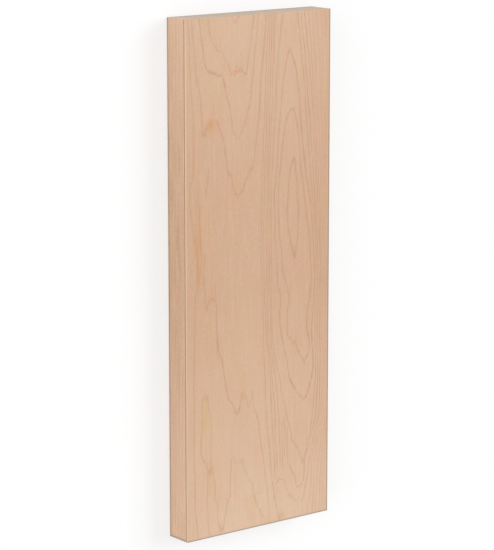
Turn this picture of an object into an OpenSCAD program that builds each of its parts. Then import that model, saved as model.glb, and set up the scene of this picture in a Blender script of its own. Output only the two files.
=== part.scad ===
// Lipped plywood sheet: a cut panel of veneered plywood with a solid wood lip set into one long edge.
// The sheet lies on its back face. X runs across the face grain, Y along it and Z through the thickness.
// The origin is the middle of the back face.

/* [Sheet] */
// Length along the face grain
sheet_length = 330; // [150:5:2440]
// Width across the face grain, lip included
sheet_width = 115; // [60:1:1220]
// Thickness from back face to front face
sheet_thickness = 19; // [12:0.5:40]

/* [Edge lip] */
// Depth of the lip into the edge of the sheet
lip_depth = 6; // [2:0.5:20]
// Thickness of the face ply that runs out over each side of the lip
face_ply = 1.2; // [0.9:0.1:3]
// Bevel on the two outer corners of the lip, which leaves a fine groove at each joint
lip_bevel = 0.3; // [0.1:0.05:0.5]

/* [Eased edges] */
// Radius sanded on the four long corners
long_ease = 0.7; // [0.2:0.1:0.8]
// Radius sanded on the corners of the two sawn ends
end_ease = 0.4; // [0.1:0.1:0.6]

/* [Hidden] */

// The lip fills the edge between the two face plies
lip_width = sheet_thickness - 2 * face_ply;
// Plane of the lipped edge
lip_edge_x = -sheet_width / 2;
// Cutters reach this far past the faces that they cut
overcut = 1;
$fn = 48;

veneer_colour = [0.84, 0.70, 0.59];
lip_colour = [0.82, 0.67, 0.56];

// Rectangle centred on the origin with its corners rounded to true arcs
module eased_rectangle(across, along, ease) {
    square([across, along - 2 * ease], center = true);
    square([across - 2 * ease, along], center = true);
    for (x = [-1, 1], y = [-1, 1])
        translate([x * (across / 2 - ease), y * (along / 2 - ease)])
            circle(r = ease);
}

// The finished outline of sheet and lip together, eased on all twelve edges
module eased_blank() {
    intersection() {
        // Section across the grain
        translate([0, sheet_length / 2, sheet_thickness / 2])
            rotate([90, 0, 0])
                linear_extrude(height = sheet_length)
                    eased_rectangle(sheet_width, sheet_thickness, long_ease);
        // Section along the grain
        translate([-sheet_width / 2, 0, sheet_thickness / 2])
            rotate([90, 0, 90])
                linear_extrude(height = sheet_width)
                    eased_rectangle(sheet_length, sheet_thickness, end_ease);
        // Plan
        linear_extrude(height = sheet_thickness)
            eased_rectangle(sheet_width, sheet_length, end_ease);
    }
}

// Section of the seat for the lip. X runs in from the lipped edge and Y out from the sheet's middle plane.
module seat_section() {
    translate([-overcut, -lip_width / 2])
        square([lip_depth + overcut, lip_width]);
}

// Section of the lip: the seat with its two outer corners bevelled
module lip_section() {
    half = lip_width / 2;
    polygon([
        [0, half - lip_bevel],
        [lip_bevel, half],
        [lip_depth, half],
        [lip_depth, -half],
        [lip_bevel, -half],
        [0, lip_bevel - half]
    ]);
}

// Runs a section of the lipped edge along the whole length of the sheet
module along_lipped_edge(run) {
    translate([lip_edge_x, run / 2, sheet_thickness / 2])
        rotate([90, 0, 0])
            linear_extrude(height = run)
                children();
}

// The plywood, with its core cut back between the face plies to seat the lip
module plywood_sheet() {
    color(veneer_colour)
        difference() {
            eased_blank();
            along_lipped_edge(sheet_length + 2 * overcut) seat_section();
        }
}

// Solid wood strip that closes the edge between the face plies
module edge_lip() {
    color(lip_colour)
        intersection() {
            eased_blank();
            along_lipped_edge(sheet_length) lip_section();
        }
}

plywood_sheet();
edge_lip();
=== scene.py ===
"""Looks for a lipped plywood sheet that lies flat: veneer, ply edges and lip, a floor, light and a camera.

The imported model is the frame. Its two solids keep their shape and get procedural wood finishes. Finishes
work in millimetres from three datum planes of the board: across from the lipped edge, along from the upper
end, and up from the back face. The studio works in metres.
"""
import logging
import math
from abc import ABC, abstractmethod
from collections.abc import Mapping
from dataclasses import dataclass, field
from enum import Enum
from functools import reduce
from typing import ClassVar

import bpy
from mathutils import Matrix, Vector


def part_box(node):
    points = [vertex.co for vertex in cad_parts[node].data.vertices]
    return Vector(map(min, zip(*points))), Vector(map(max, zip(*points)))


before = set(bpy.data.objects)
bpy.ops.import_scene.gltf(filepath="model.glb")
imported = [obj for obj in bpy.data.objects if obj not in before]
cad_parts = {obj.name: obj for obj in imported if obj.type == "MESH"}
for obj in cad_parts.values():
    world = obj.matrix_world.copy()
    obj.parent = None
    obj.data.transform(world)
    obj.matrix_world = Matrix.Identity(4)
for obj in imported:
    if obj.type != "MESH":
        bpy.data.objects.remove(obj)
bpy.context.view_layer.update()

LOG = logging.getLogger("lipped_plywood_sheet")
MM = 0.001

Rgb = tuple[float, float, float, float]
Triple = tuple[float, float, float]
Span = tuple[float, float]
Stations = tuple[tuple[float, float], ...]

WHITE: Rgb = (1.0, 1.0, 1.0, 1.0)


def paint(red: int, green: int, blue: int) -> Rgb:
    """Turns a screen colour into the linear colour that a shader socket takes.

    Args:
        red: Red from 0 to 255.
        green: Green from 0 to 255.
        blue: Blue from 0 to 255.

    Returns:
        The linear colour, opaque.
    """
    def linear(level: int) -> float:
        """Undoes the screen's curve for one channel."""
        share = level / 255
        return share / 12.92 if share <= 0.04045 else ((share + 0.055) / 1.055) ** 2.4

    return linear(red), linear(green), linear(blue), 1.0


class PortKind(Enum):
    """What a socket of a shader group carries."""

    VALUE = "NodeSocketFloat"
    VECTOR = "NodeSocketVector"
    COLOUR = "NodeSocketColor"


@dataclass(frozen=True)
class Port:
    """A named socket on the outside of a shader group."""

    name: str
    kind: PortKind


def ports(*names: str, kind: PortKind = PortKind.VALUE) -> tuple[Port, ...]:
    """Names several sockets of one kind."""
    return tuple(Port(name, kind) for name in names)


class Laying(Enum):
    """How one colour is laid over another."""

    COVER = "MIX"
    STAIN = "MULTIPLY"


@dataclass(frozen=True)
class Cloud:
    """Smooth noise of one kind: the size of its cells in millimetres, its octaves and its seed."""

    across: float
    along: float
    up: float
    octaves: float = 2.0
    seed: float = 0.0
    seed_step: Triple = (1.0, 1.7, 2.3)


@dataclass(frozen=True)
class Signal:
    """A value that changes over the surface: a socket of a shader tree, with arithmetic that adds nodes."""

    wiring: "Wiring"
    socket: bpy.types.NodeSocket

    def __add__(self, other: "Signal | float") -> "Signal":
        """Adds a signal or a number."""
        return self.wiring.math("ADD", self, other)

    def __sub__(self, other: "Signal | float") -> "Signal":
        """Takes away a signal or a number."""
        return self.wiring.math("SUBTRACT", self, other)

    def __rsub__(self, other: float) -> "Signal":
        """Takes this signal away from a number."""
        return self.wiring.math("SUBTRACT", other, self)

    def __mul__(self, other: "Signal | float") -> "Signal":
        """Multiplies by a signal or a number."""
        return self.wiring.math("MULTIPLY", self, other)

    def __truediv__(self, other: "Signal | float") -> "Signal":
        """Divides by a signal or a number."""
        return self.wiring.math("DIVIDE", self, other)

    def __neg__(self) -> "Signal":
        """Turns the sign round."""
        return self * -1.0

    def over(self, other: "Signal | float") -> "Signal":
        """Takes the larger of two."""
        return self.wiring.math("MAXIMUM", self, other)

    def under(self, other: "Signal | float") -> "Signal":
        """Takes the smaller of two."""
        return self.wiring.math("MINIMUM", self, other)

    def above(self) -> "Signal":
        """Keeps how far it lies above 0."""
        return self.over(0.0)

    def below(self) -> "Signal":
        """Keeps how far it lies below 0."""
        return (-self).over(0.0)

    def size(self) -> "Signal":
        """Drops the sign."""
        return self.wiring.math("ABSOLUTE", self)

    def whole(self) -> "Signal":
        """Rounds down to a whole number."""
        return self.wiring.math("FLOOR", self)

    def part(self) -> "Signal":
        """Keeps what is left after the whole number."""
        return self.wiring.math("FRACT", self)

    def soften(self) -> "Signal":
        """Rounds off both ends of a ramp from 0 to 1."""
        return self * self * (3.0 - self * 2.0)

    def share(self) -> "Signal":
        """Holds the value between 0 and 1.

        Returns:
            The value, or 0 or 1 where it lies beyond them.
        """
        made = self.wiring.node("ShaderNodeClamp")
        self.wiring.feed(made.inputs["Value"], self)
        return Signal(self.wiring, made.outputs["Result"])

    def rise(self, start: float, end: float) -> "Signal":
        """Climbs smoothly from 0 at start to 1 at end.

        Args:
            start: Value at and before which the result is 0.
            end: Value at and past which it is 1. It may be less than start.

        Returns:
            The signal from 0 to 1.
        """
        if start > end:
            return 1.0 - self.rise(end, start)
        made = self.wiring.node("ShaderNodeMapRange", interpolation_type="SMOOTHSTEP")
        self.wiring.feed(made.inputs["Value"], self)
        made.inputs["From Min"].default_value = start
        made.inputs["From Max"].default_value = end
        return Signal(self.wiring, made.outputs["Result"])

    def follow(self, stations: Stations) -> "Signal":
        """Reads a smooth curve through stations, level beyond its two ends.

        Args:
            stations: Pairs of a place and the curve's height there, in order of place.

        Returns:
            The curve's height at this signal's value.
        """
        places = [place for place, _ in stations]
        heights = [height for _, height in stations]
        base = min(heights)
        span = places[-1] - places[0]
        lift = max(heights) - base
        reached = (self - places[0]) / span
        made = self.wiring.node("ShaderNodeFloatCurve")
        made.mapping.extend = "HORIZONTAL"
        points = made.mapping.curves[0].points
        points[0].location = (0.0, (heights[0] - base) / lift)
        points[1].location = (1.0, (heights[-1] - base) / lift)
        for place, height in stations[1:-1]:
            points.new((place - places[0]) / span, (height - base) / lift)
        for point in points:
            point.handle_type = "AUTO_CLAMPED"
        made.mapping.update()
        self.wiring.feed(made.inputs["Value"], reached)
        return Signal(self.wiring, made.outputs["Value"]) * lift + base


Signals = Mapping[str, Signal]


class Wiring:
    """Adds nodes to one shader tree and joins them, so that a finish reads like a formula."""

    def __init__(self, tree: bpy.types.NodeTree) -> None:
        """Keeps the tree that the nodes go into."""
        self.tree = tree

    def node(self, kind: str, **settings: object) -> bpy.types.Node:
        """Adds one node.

        Args:
            kind: Blender's name for the type of node.
            **settings: Properties to set on it.

        Returns:
            The new node.
        """
        made = self.tree.nodes.new(kind)
        for name, value in settings.items():
            setattr(made, name, value)
        return made

    def feed(self, socket: bpy.types.NodeSocket, value: Signal | float | Rgb | Triple) -> None:
        """Joins a signal to a socket, or sets a constant on it.

        Args:
            socket: The input to feed.
            value: A signal, a number, a colour or a vector.
        """
        if isinstance(value, Signal):
            self.tree.links.new(value.socket, socket)
        else:
            socket.default_value = value

    def math(self, operation: str, *values: Signal | float) -> Signal:
        """Works out one step of arithmetic.

        Args:
            operation: Blender's name for the operation.
            *values: Its one or two operands.

        Returns:
            The result.
        """
        made = self.node("ShaderNodeMath", operation=operation)
        for socket, value in zip(made.inputs, values):
            self.feed(socket, value)
        return Signal(self, made.outputs[0])

    def vector(self, across: Signal | float, along: Signal | float, up: Signal | float) -> Signal:
        """Joins three numbers into a vector.

        Args:
            across: Its first number.
            along: Its second number.
            up: Its third number.

        Returns:
            The vector.
        """
        made = self.node("ShaderNodeCombineXYZ")
        for socket, value in zip(made.inputs, (across, along, up)):
            self.feed(socket, value)
        return Signal(self, made.outputs[0])

    def noise(self, point: Signal, cloud: Cloud) -> Signal:
        """Reads smooth noise.

        Args:
            point: Place on the board in millimetres.
            cloud: The kind of noise.

        Returns:
            Noise of about -1 to 1.
        """
        scaled = self.node("ShaderNodeVectorMath", operation="MULTIPLY_ADD")
        self.feed(scaled.inputs[0], point)
        scaled.inputs[1].default_value = (1 / cloud.across, 1 / cloud.along, 1 / cloud.up)
        scaled.inputs[2].default_value = tuple(cloud.seed * step for step in cloud.seed_step)
        made = self.node("ShaderNodeTexNoise", noise_dimensions="3D")
        self.feed(made.inputs["Vector"], Signal(self, scaled.outputs[0]))
        made.inputs["Scale"].default_value = 1.0
        made.inputs["Detail"].default_value = cloud.octaves
        return (Signal(self, made.outputs["Fac"]) - 0.5) * 2.0

    def blend(
        self, share: Signal | float, first: Signal | Rgb, second: Signal | Rgb,
        laying: Laying = Laying.COVER,
    ) -> Signal:
        """Lays one colour over another.

        Args:
            share: How much of the second colour shows, from 0 to 1.
            first: The colour below.
            second: The colour above.
            laying: How they combine.

        Returns:
            The combined colour.
        """
        made = self.node("ShaderNodeMix", data_type="RGBA", blend_type=laying.value, clamp_factor=True)
        self.feed(made.inputs["Factor"], share)
        colours = [socket for socket in made.inputs if socket.type == "RGBA"]
        self.feed(colours[0], first)
        self.feed(colours[1], second)
        return Signal(self, next(socket for socket in made.outputs if socket.type == "RGBA"))


class ShaderGroup(ABC):
    """A shader node group that is built once and placed in each finish that uses it."""

    title: ClassVar[str]
    takes: ClassVar[tuple[Port, ...]] = ()
    gives: ClassVar[tuple[Port, ...]]

    @abstractmethod
    def wire(self, wiring: Wiring, given: Signals) -> dict[str, Signal]:
        """Adds the nodes inside the group.

        Args:
            wiring: The group's own tree.
            given: Its inputs by name.

        Returns:
            Its outputs by name.
        """

    def tree(self) -> bpy.types.NodeTree:
        """Finds the group's tree, or makes it on the first call.

        Returns:
            The tree.
        """
        known = bpy.data.node_groups.get(self.title)
        if known:
            return known
        made = bpy.data.node_groups.new(self.title, "ShaderNodeTree")
        for direction, sockets in (("INPUT", self.takes), ("OUTPUT", self.gives)):
            for port in sockets:
                made.interface.new_socket(port.name, in_out=direction, socket_type=port.kind.value)
        wiring = Wiring(made)
        inlet = wiring.node("NodeGroupInput")
        outlet = wiring.node("NodeGroupOutput")
        given = {port.name: Signal(wiring, inlet.outputs[port.name]) for port in self.takes}
        for name, signal in self.wire(wiring, given).items():
            wiring.feed(outlet.inputs[name], signal)
        return made

    def place(self, wiring: Wiring, **values: Signal | float | Rgb) -> dict[str, Signal]:
        """Puts the group into a tree.

        Args:
            wiring: The tree that it goes into.
            **values: What its inputs get, by name.

        Returns:
            Its outputs by name.
        """
        made = wiring.node("ShaderNodeGroup")
        made.node_tree = self.tree()
        for name, value in values.items():
            wiring.feed(made.inputs[name], value)
        return {port.name: Signal(wiring, made.outputs[port.name]) for port in self.gives}


@dataclass(frozen=True)
class BoardPlace(ShaderGroup):
    """Where a point lies on the board, in millimetres, and which of its faces the point is on."""

    title = "board place"
    gives = (
        ports("across", "along", "up")
        + ports("point", kind=PortKind.VECTOR)
        + ports("front", "back", "end", "eased")
    )
    width: float
    length: float
    facing: Span = (0.6, 0.8)
    easing: Span = (0.99, 0.85)

    def wire(self, wiring: Wiring, given: Signals) -> dict[str, Signal]:
        """Turns object coordinates into millimetres, and the surface's direction into masks of faces.

        Args:
            wiring: The group's own tree.
            given: Empty, because the group has no inputs.

        Returns:
            The place and the masks.
        """
        source = wiring.node("ShaderNodeTexCoord")
        where = wiring.node("ShaderNodeSeparateXYZ")
        turned = wiring.node("ShaderNodeSeparateXYZ")
        wiring.tree.links.new(source.outputs["Object"], where.inputs[0])
        wiring.tree.links.new(source.outputs["Normal"], turned.inputs[0])
        x, y, z = (Signal(wiring, socket) for socket in where.outputs)
        right, upper, top = (Signal(wiring, socket) for socket in turned.outputs)
        start, full = self.facing
        across = x / MM + self.width / 2
        along = self.length / 2 - y / MM
        up = z / MM
        steepest = right.size().over(upper.size()).over(top.size())
        return {
            "across": across,
            "along": along,
            "up": up,
            "point": wiring.vector(across, along, up),
            "front": top.rise(start, full),
            "back": top.rise(-start, -full),
            "end": upper.size().rise(start, full),
            "eased": steepest.rise(*self.easing),
        }


class SoftSpot(ShaderGroup):
    """A bell-shaped mark over an ellipse, which fades out all round."""

    title = "soft spot"
    takes = ports("across", "along", "middle", "down", "half_width", "half_length", "strength")
    gives = ports("share")

    def wire(self, wiring: Wiring, given: Signals) -> dict[str, Signal]:
        """Shapes the mark.

        Args:
            wiring: The group's own tree.
            given: The place, and the mark's middle, half sizes and strength.

        Returns:
            How strongly the mark shows.
        """
        sideways = (given["across"] - given["middle"]) / given["half_width"]
        lengthways = (given["along"] - given["down"]) / given["half_length"]
        fall = sideways * sideways + lengthways * lengthways
        return {"share": given["strength"] * wiring.math("EXPONENT", -fall)}


@dataclass(frozen=True)
class GrowthLine(ShaderGroup):
    """A fine line beside a course, of even width however the course slants, between its two ends."""

    title = "growth line"
    takes = ports("across", "along", "course", "course_on", "start", "end", "fade", "width", "strength")
    gives = ports("line")
    step: float = 0.25

    def wire(self, wiring: Wiring, given: Signals) -> dict[str, Signal]:
        """Measures the distance square to the course, and fades the line beyond its ends.

        Args:
            wiring: The group's own tree.
            given: The place, the course here and one step on, and how the line is drawn.

        Returns:
            How strongly the line shows.
        """
        lean = (given["course_on"] - given["course"]) / self.step
        slant = wiring.math("SQRT", lean * lean + 1.0)
        off = (given["across"] - given["course"]).size() / (slant * given["width"])
        near = 1.0 - off.under(1.0)
        begun = ((given["along"] - given["start"]) / given["fade"] + 1.0).share()
        left = ((given["end"] - given["along"]) / given["fade"] + 1.0).share()
        return {"line": near.soften() * begun * left * given["strength"]}


@dataclass(frozen=True)
class GrowthCourse:
    """One growth line: how strongly it shows, and its course as stations of along and across."""

    strength: float
    stations: Stations


@dataclass(frozen=True)
class GrainFamily:
    """Growth lines that are drawn alike: equally wide, equally soft at the ends and equally ragged."""

    courses: tuple[GrowthCourse, ...]
    width: float = 0.95
    fade: float = 0.3
    ragged: float = 1.0

    def draw(self, wiring: Wiring, across: Signal, along: Signal) -> Signal:
        """Draws all lines of the family.

        Args:
            wiring: The tree that they go into.
            across: Millimetres from the lipped edge.
            along: Millimetres from the upper end.

        Returns:
            A mask of the lines.
        """
        pencil = GrowthLine()
        ahead = along + pencil.step

        def line(course: GrowthCourse) -> Signal:
            """Draws one line."""
            stations = course.stations
            return pencil.place(
                wiring, across=across, along=along, course=along.follow(stations),
                course_on=ahead.follow(stations), start=stations[0][0], end=stations[-1][0],
                fade=self.fade, width=self.width, strength=course.strength,
            )["line"]

        return reduce(Signal.over, map(line, self.courses))


# Pointed arches that hang from the upper end on the left half
UPPER_ARCHES = GrainFamily(
    courses=(
        GrowthCourse(1.4, ((0, 36), (2, 37.3), (3.8, 38.8))),
        GrowthCourse(1, ((0, 42), (2, 40.4), (3.8, 38.8))),
        GrowthCourse(0.75, ((0, 17.5), (5, 18.3), (11, 19.6), (14, 20.5), (17.5, 22.5), (20.8, 24.5),
            (22.3, 28.5), (25, 30), (29, 32.5), (32.5, 34.5), (36, 36.5), (37.2, 38))),
        GrowthCourse(1.1, ((32, 40), (34, 39), (37.2, 38))),
        GrowthCourse(1.85, ((32, 40), (33.7, 42.5), (35, 44.5), (36.3, 46.5))),
        GrowthCourse(1, ((0, 53), (5, 52.5), (11, 51.8), (18, 50.5), (24, 49.3), (28, 48.2), (33, 47.6),
            (36.3, 46.5))),
        GrowthCourse(0.9, ((0, 10.8), (8, 12), (14.6, 12.9), (20, 13.8), (26.7, 15), (31, 16.3),
            (33.2, 18.5), (35.3, 24), (36.6, 27.5), (39.5, 29.5), (44, 30.6), (52, 32.5), (60, 34.5),
            (66, 35.8), (71, 36.5), (74, 38), (76.4, 40.3))),
        GrowthCourse(0.95, ((0, 56.5), (8, 55.8), (15, 54.8), (22, 53.7), (30, 52.9), (38, 52.2),
            (45, 51.4), (52, 50.6), (57, 49.4), (61, 47.8), (65, 46.8), (69, 45.5), (72, 44), (74.8, 42),
            (76.4, 40.3))),
        GrowthCourse(1, ((0, 4.8), (5, 5.2), (18, 6.7), (29, 8), (37, 8.9), (42.5, 10.4), (50, 11.6),
            (60, 12.5), (67, 12.9), (71.8, 13.6))),
        GrowthCourse(1.05, ((62.8, 20.5), (65, 18), (68, 16.3), (71.8, 13.6))),
        GrowthCourse(1.25, ((62.8, 20.5), (63.3, 22.8), (65, 24.4), (68, 25.8), (71, 27.3), (75, 28.5),
            (79, 29.5), (84, 30.4), (90, 31.5), (95, 32.3), (98.5, 33.8), (101, 35.5), (105.5, 36.6),
            (109.5, 38), (113.4, 40.6))),
        GrowthCourse(1.25, ((0, 62.5), (8, 62), (17.5, 61.2), (26, 60.2), (33, 59.3), (40, 58.3),
            (46.7, 57.7), (54, 57.5), (61.7, 57.1), (70.8, 56), (80, 55), (85, 54.3), (89, 53.8),
            (93.5, 52.8), (97, 51), (99, 49), (102, 47), (106, 45), (109.5, 43), (113.4, 40.6))),
    ),
)

# Bold stretch where one of those arches crosses the fibres
CROSSING_ARCH = GrainFamily(
    courses=(
        GrowthCourse(1.5, ((29, 15.6), (31, 16.4), (33.2, 18.8), (35.3, 24), (36.6, 27.4), (39.5, 29.5),
            (43, 30.4))),
    ),
    fade=2.5,
    ragged=0.3,
)

# Ragged line and arches on the left of the lower half
LOWER_ARCHES = GrainFamily(
    courses=(
        GrowthCourse(1.4, ((146, 14.2), (155, 13.8), (163, 13.7), (170, 14.6), (177.5, 15), (182.3, 15.8))),
        GrowthCourse(1.6, ((175, 19.8), (176.5, 17.6), (179, 16.5), (182.3, 15.8))),
        GrowthCourse(1.7, ((175, 19.8), (176.5, 21.2), (178, 21.7))),
        GrowthCourse(1.25, ((167, 22), (172, 22.6), (177, 23.2), (182, 23.5), (188, 23.3), (194, 23.6),
            (200, 24), (206, 24.6), (211, 25.6), (214.5, 26.9), (218, 28), (222, 28.6), (227, 29.7),
            (232, 30.6), (237, 31.7), (241.5, 33), (243.5, 34.5), (246.8, 36.5), (249.8, 38), (252, 39.7))),
        GrowthCourse(1.25, ((239, 43.7), (241.5, 42.8), (245.5, 42.3), (249.5, 41.4), (252, 39.7))),
        GrowthCourse(0.75, ((239, 43.7), (239.8, 45.4), (242.5, 46.6), (246, 47.8), (248.5, 48.3))),
        GrowthCourse(1, ((237.5, 52), (243, 51.5), (246.8, 50), (248.5, 48.3))),
        GrowthCourse(0.73, ((237.5, 52), (243, 52.5), (248, 53), (251, 54.3), (258, 56.5), (264, 57.7),
            (271, 58.8), (280, 60.2), (288.5, 61.6), (298.5, 62.7), (305, 64.1), (313.5, 65.2),
            (324.5, 66.4), (330, 66.8))),
        GrowthCourse(0.68, ((285, 16.5), (294, 16.2), (304, 15.8), (312, 16.3), (319, 16.7), (327, 17.5),
            (330, 17.7))),
        GrowthCourse(0.75, ((284, 20), (290, 20.8), (297, 22), (305, 22.4), (310, 23.7), (318, 23.8),
            (324, 25), (328, 27.2))),
        GrowthCourse(0.88, ((281, 37.5), (282, 36), (285, 34.8), (290, 34.3), (297, 34), (305, 33.7),
            (309, 32), (314, 30.8), (320, 29.6), (326, 28.5), (328, 27.2))),
        GrowthCourse(0.68, ((281, 37.5), (283.4, 38.3), (284.6, 40.5), (285, 43.6), (289, 46), (293, 48),
            (297.5, 50.3), (300.5, 51.8), (304, 52.3), (308, 53.2), (312, 54.5), (316, 56.5), (320, 58.6),
            (325, 61))),
    ),
)

# Faint closed loop low on the left
FAINT_LOOP = GrainFamily(
    courses=(
        GrowthCourse(0.8, ((236.5, 15), (239, 12.6), (245, 11.8), (254, 12.3), (262, 11.5), (272, 11.3),
            (277, 12.6), (281, 15), (284.5, 16.2), (286.8, 18))),
        GrowthCourse(0.7, ((236.5, 15), (240, 16.6), (247, 17.5), (255, 18.7), (262, 18.9), (268, 18.3),
            (276, 18.6), (282, 18.4), (286.8, 18))),
    ),
    width=1.2,
)

# Long closed loops and nested points right of the middle
RING_COLUMN = GrainFamily(
    courses=(
        GrowthCourse(1.5, ((91.5, 85.8), (94, 84.8), (97.5, 83.3), (102, 82.4), (107, 81.4), (115, 80.9),
            (124, 80.6), (132, 80.6), (138, 81.2), (143, 82.2), (148, 83.4), (152, 84.6), (156.5, 86))),
        GrowthCourse(1.3, ((91.5, 85.8), (98, 86.3), (105, 87.2), (113, 88), (121, 88.6), (130, 88.9),
            (138, 88.6), (146, 88.1), (151, 87.5), (156.5, 86))),
        GrowthCourse(1.25, ((60.6, 83.8), (62.5, 82), (65, 80.3), (69, 78.8), (74, 77.6), (80, 76.7),
            (85, 76.2), (95, 75), (103, 73.9), (112, 73.1), (120, 73), (131, 73.3), (139, 73.9),
            (146, 74.5), (152, 75.4), (160, 76.2), (168, 77.3), (172, 79.2), (177, 80.5), (181.5, 81.8),
            (185, 81.6), (190, 80.4), (200, 80.2), (206, 80.5), (209, 83), (213, 86.5), (217, 89),
            (221, 91), (225, 92.8), (228, 94.2))),
        GrowthCourse(1.35, ((60.6, 83.8), (62.5, 85.6), (67.5, 87.2), (74, 88.3), (80, 89), (90, 90),
            (100, 91), (106, 92.5), (113, 93.3), (121, 94.4), (128, 95.7), (136, 97), (143, 98.3),
            (151, 98.9), (160, 99.4), (168, 99.9), (176, 99.4), (183, 98.8), (190, 97.6), (197, 96.4),
            (203, 96.3), (207.5, 97.2), (211.5, 98.6), (216, 99), (220.5, 98), (224.5, 96), (228, 94.2))),
        GrowthCourse(1.35, ((24.5, 81.7), (26, 80.4), (30, 79.2), (38, 77.4), (44, 76.3), (50, 75.5),
            (62, 74.3), (76, 73.2), (83, 72.6), (97, 71.6), (106, 70.4), (114, 69.8), (120, 69.8),
            (130, 70.3), (142, 70.4), (155, 71), (166, 71.8), (176, 73.2), (181, 74.8), (186, 74.8),
            (192, 73.9), (198, 74), (205, 75), (210.5, 76.2), (215, 77.6), (220, 79), (225, 80.6),
            (230, 81.2), (234.5, 82.4), (238.5, 84.2), (243, 86.8), (246.5, 89), (249.6, 91.8),
            (252.3, 94.6))),
        GrowthCourse(1.5, ((24.5, 81.7), (26, 83), (29.5, 84.8), (34, 86.2), (40, 87.6), (46.5, 88.8),
            (55, 89.8), (64, 90.5), (74, 91.5), (84, 92.8), (94, 94), (103, 95.2), (110, 96.6), (117, 98),
            (123, 99), (133, 100.2), (143, 101), (153, 101.9), (163, 102.7), (172, 103.2), (181, 102.8),
            (190, 102), (198, 101.2), (206, 100.7), (214, 101.2), (222, 102), (229, 102.2), (234, 101.6),
            (239, 100.4), (244, 98.8), (248.5, 97), (252.3, 94.6))),
        GrowthCourse(1, ((0, 76), (4, 75.2), (11, 74.2), (19, 73.2), (28, 72), (36, 71.3), (47, 70.8),
            (58, 70.2), (72, 69.4), (86, 68.7), (100, 68), (113, 67.2), (130, 66.9), (150, 67), (170, 67.3),
            (190, 67.6), (204, 68.2), (216, 69.6), (226, 71.5), (233, 73.6), (240, 75), (247.5, 76.4),
            (251.5, 79), (258.5, 80), (264.5, 81.3), (270.5, 83.4), (276.5, 84.6), (279.3, 86.5),
            (282, 88.4), (285, 90.4), (289, 91.8), (294, 93.6))),
        GrowthCourse(1.05, ((0, 87.8), (8, 88.9), (13.5, 89.9), (23, 90.8), (32, 92), (41, 93.2), (51, 94.3),
            (62, 95.2), (74, 96.3), (86, 97.3), (97, 98.3), (108, 99.6), (119, 101), (132, 102.4),
            (146, 103.6), (160, 104.6), (172, 105.2), (184, 104.7), (196, 103.8), (208, 103.3),
            (220, 103.9), (232, 104), (244, 103.4), (254, 102.4), (264, 101.5), (272, 100), (278, 98.6),
            (282.5, 97), (287, 95.8), (291, 94.8), (294, 93.6))),
        GrowthCourse(0.95, ((268, 80.3), (282, 80.4), (288.7, 80.7), (292, 81.4), (295.3, 83.4),
            (300, 85.8), (304.5, 87.5), (307.7, 88.5), (309.6, 90.8))),
        GrowthCourse(1.05, ((250, 105), (262, 104), (270, 102.4), (277, 100.6), (283, 98.6), (288, 96.6),
            (293, 95.2), (299, 94.8), (303, 94.6), (307, 93.6), (308.8, 92.5), (309.6, 90.8))),
        GrowthCourse(0.6, ((300.8, 75.5), (302.6, 78.2), (306, 79.3), (310.7, 81.3), (313.7, 83.3),
            (315.9, 85.2), (317.6, 88), (318.8, 92.5))),
        GrowthCourse(1.85, ((300.8, 75.5), (301.6, 73.4), (303, 72.4))),
        GrowthCourse(0.8, ((256, 107), (262, 106.4), (270, 104.5), (279, 102.5), (287, 100.3), (294, 98.6),
            (301, 97.4), (308, 96.3), (314, 95), (318.8, 92.5))),
        GrowthCourse(0.65, ((256, 108.4), (272, 106), (281, 104), (289, 102), (298, 101), (308, 100.8),
            (317, 99.4), (325, 98), (330, 97.4))),
    ),
)

# Straight lines between the two columns
STRAIGHT_BAND = GrainFamily(
    courses=(
        GrowthCourse(1.25, ((0, 64.5), (15, 63.8), (30, 63), (45, 62.3), (62, 61.5), (80, 60.8), (100, 60),
            (120, 59.4), (140, 59.2), (165, 59.6), (185, 60.2), (200, 60.7), (212, 61.2), (223, 61.9),
            (233, 62.6), (247, 63.1), (260, 63.8), (269.5, 64.7), (280, 65.9), (290, 67), (299, 68.2),
            (306.5, 69.4), (315, 70.8), (323.5, 72.5), (329, 75))),
        GrowthCourse(1.3, ((0, 66), (20, 65.5), (40, 64.5), (60, 63.5), (80, 62.8), (100, 62), (120, 61.3),
            (140, 61.2), (165, 61.6), (190, 62.3), (204, 62.9), (214, 64.2), (223, 65.1), (233, 66.4),
            (242, 67.1), (252, 67.6), (265, 68.3), (278, 69.2), (287, 70.2), (297, 70.8))),
        GrowthCourse(1.55, ((0, 67.6), (20, 67), (40, 66.2), (60, 65.5), (80, 65), (100, 64.3), (120, 63.8),
            (140, 63.6), (165, 64), (190, 64.2), (205, 64.6), (218, 66.2), (230, 67.6), (245, 69.2),
            (258, 70.3), (272, 70.7), (283, 71.8), (290, 72.2))),
        GrowthCourse(1.3, ((0, 69.2), (20, 68.6), (40, 68), (60, 67.4), (80, 66.5), (100, 65.8), (120, 65.4),
            (140, 65.4), (165, 65.7), (190, 66.3), (203, 66.9), (214, 67.8), (227, 69.4), (238, 71.2),
            (250, 72.4), (262, 73.6), (275, 74.4), (288, 74.6))),
        GrowthCourse(1.4, ((0, 70.8), (10, 69.8), (17, 69.2), (30, 68.8))),
        GrowthCourse(1.3, ((266, 76.4), (278, 76.8), (290, 76.6))),
        GrowthCourse(1.7, ((263, 78), (274, 78.6), (284, 78.4))),
    ),
    width=0.58,
    fade=5,
)

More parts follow.
